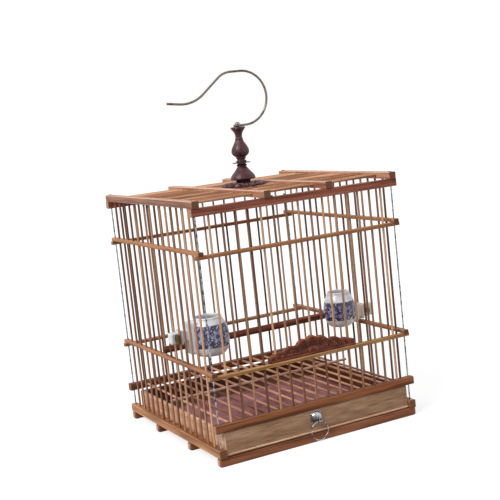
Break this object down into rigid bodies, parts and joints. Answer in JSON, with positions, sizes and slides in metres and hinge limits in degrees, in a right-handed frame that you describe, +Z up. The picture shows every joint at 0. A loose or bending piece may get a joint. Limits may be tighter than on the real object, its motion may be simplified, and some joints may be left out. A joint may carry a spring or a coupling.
{
  "type": "bird cage",
  "caption": "Square bamboo bird cage with upright stick bars, sliding front door, pull-out litter drawer, perch, two porcelain cups and a turned finial with a swan-neck hanging hook",
  "frame": {"origin": "centre of the square of the four corner wires, on the surface that the foot rails stand on", "axes": "+Z up, -Y the front that the drawer and the door are on, +X to the right seen from the front"},
  "size_m": [0.2625, 0.2549, 0.407],
  "materials": {
    "foot_wood": "reddish brown bamboo rails, satin",
    "base_bamboo": "tan bamboo bars, satin",
    "drawer_rail_wood": "brown bamboo rails, satin",
    "band_bamboo": "tan bamboo strips, satin",
    "top_rail_wood": "dark reddish brown rails, satin",
    "roof_bar_bamboo": "tan bamboo bars, satin",
    "face_sticks": "brown bamboo sticks, satin",
    "side_sticks": "darker brown bamboo sticks, satin",
    "rear_sticks": "grey brown bamboo sticks, satin",
    "roof_sticks": "olive tan bamboo sticks, satin",
    "floor_sticks": "brown bamboo sticks, matt",
    "door_sticks": "brown bamboo sticks, satin",
    "corner_wire": "dull grey steel wire",
    "door_wood": "reddish brown carved wood, satin",
    "perch_wood": "dark reddish brown wood, satin",
    "porcelain": "glazed white porcelain with a blue band",
    "key_wood": "dark olive brown bamboo keys",
    "drawer_front_bamboo": "grey tan split bamboo",
    "drawer_board_wood": "light pinkish tan boards",
    "liner_paper": "mauve paper lining",
    "pull_chrome": "bright chrome dome and eye",
    "ring_steel": "bright ring",
    "finial_wood": "dark purple brown turned wood, satin",
    "collar_metal": "dark metal disc",
    "pin_steel": "steel pin and nut",
    "nut_metal": "dull bronze coloured nut",
    "hook_metal": "bronze grey wire"
  },
  "bodies": {
    "cage": {"foot_rail_front": "foot_wood", "foot_rail_mid_front": "foot_wood", "foot_rail_mid_rear": "foot_wood", "foot_rail_rear": "foot_wood", "base_bar_left": "base_bamboo", "base_bar_right": "base_bamboo", "drawer_rail_front": "drawer_rail_wood", "drawer_rail_rear": "drawer_rail_wood", "lower_band_front": "band_bamboo", "lower_band_rear": "band_bamboo", "lower_band_left": "band_bamboo", "lower_band_right": "band_bamboo", "upper_band_front": "band_bamboo", "upper_band_rear": "band_bamboo", "upper_band_left": "band_bamboo", "upper_band_right": "band_bamboo", "top_rail_front": "top_rail_wood", "top_rail_rear": "top_rail_wood", "roof_bar_left": "roof_bar_bamboo", "roof_bar_mid_left": "roof_bar_bamboo", "roof_bar_mid_right": "roof_bar_bamboo", "roof_bar_right": "roof_bar_bamboo", "corner_wire_front_left": "corner_wire", "corner_wire_front_right": "corner_wire", "corner_wire_rear_left": "corner_wire", "corner_wire_rear_right": "corner_wire", "front_sticks_left": "face_sticks", "front_sticks_right": "face_sticks", "front_sticks_short": "face_sticks", "rear_sticks": "rear_sticks", "left_sticks": "side_sticks", "right_sticks": "side_sticks", "roof_sticks": "roof_sticks", "floor_sticks": "floor_sticks", "floor_strip": "band_bamboo", "perch": "perch_wood", "cup_left": "porcelain", "cup_right": "porcelain", "finial_leaf_plate": "finial_wood", "finial_bell": "finial_wood", "finial_collar": "collar_metal", "finial_vase": "finial_wood", "finial_pin": "pin_steel", "finial_under_plate": "finial_wood", "finial_lower_nut": "pin_steel", "hook_nut": "nut_metal"},
    "drawer": {"drawer_front": "drawer_front_bamboo", "drawer_bottom": "drawer_board_wood", "drawer_side_left": "drawer_board_wood", "drawer_side_right": "drawer_board_wood", "drawer_back": "drawer_board_wood", "drawer_liner": "liner_paper", "pull_dome": "pull_chrome", "pull_eye": "pull_chrome"},
    "ring": {"pull_ring": "ring_steel"},
    "door": {"door_plate": "door_wood", "door_sticks": "door_sticks"},
    "hook": {"hook": "hook_metal"},
    "key_left": {"cup_key_left": "key_wood"},
    "key_right": {"cup_key_right": "key_wood"}
  },
  "joints": [
    {"name": "drawer_slide", "type": "slide", "parent": "cage", "child": "drawer", "axis": [0, -1, 0], "range_m": [0, 0.2]},
    {"name": "ring_swing", "type": "hinge", "parent": "drawer", "child": "ring", "pos_m": [-0.005, -0.12756, 0.0234], "axis": [-1, 0, 0], "range_deg": [0, 165]},
    {"name": "door_lift", "type": "slide", "parent": "cage", "child": "door", "axis": [0, 0, 1], "range_m": [0, 0.1]},
    {"name": "hook_swivel", "type": "hinge", "parent": "cage", "child": "hook", "pos_m": [0, 0, 0.3447], "axis": [0, 0, 1], "continuous": true},
    {"name": "key_left_pull", "type": "slide", "parent": "cage", "child": "key_left", "axis": [0, -1, 0], "range_m": [0, 0.018]},
    {"name": "key_right_pull", "type": "slide", "parent": "cage", "child": "key_right", "axis": [0, 1, 0], "range_m": [0, 0.018]}
  ]
}
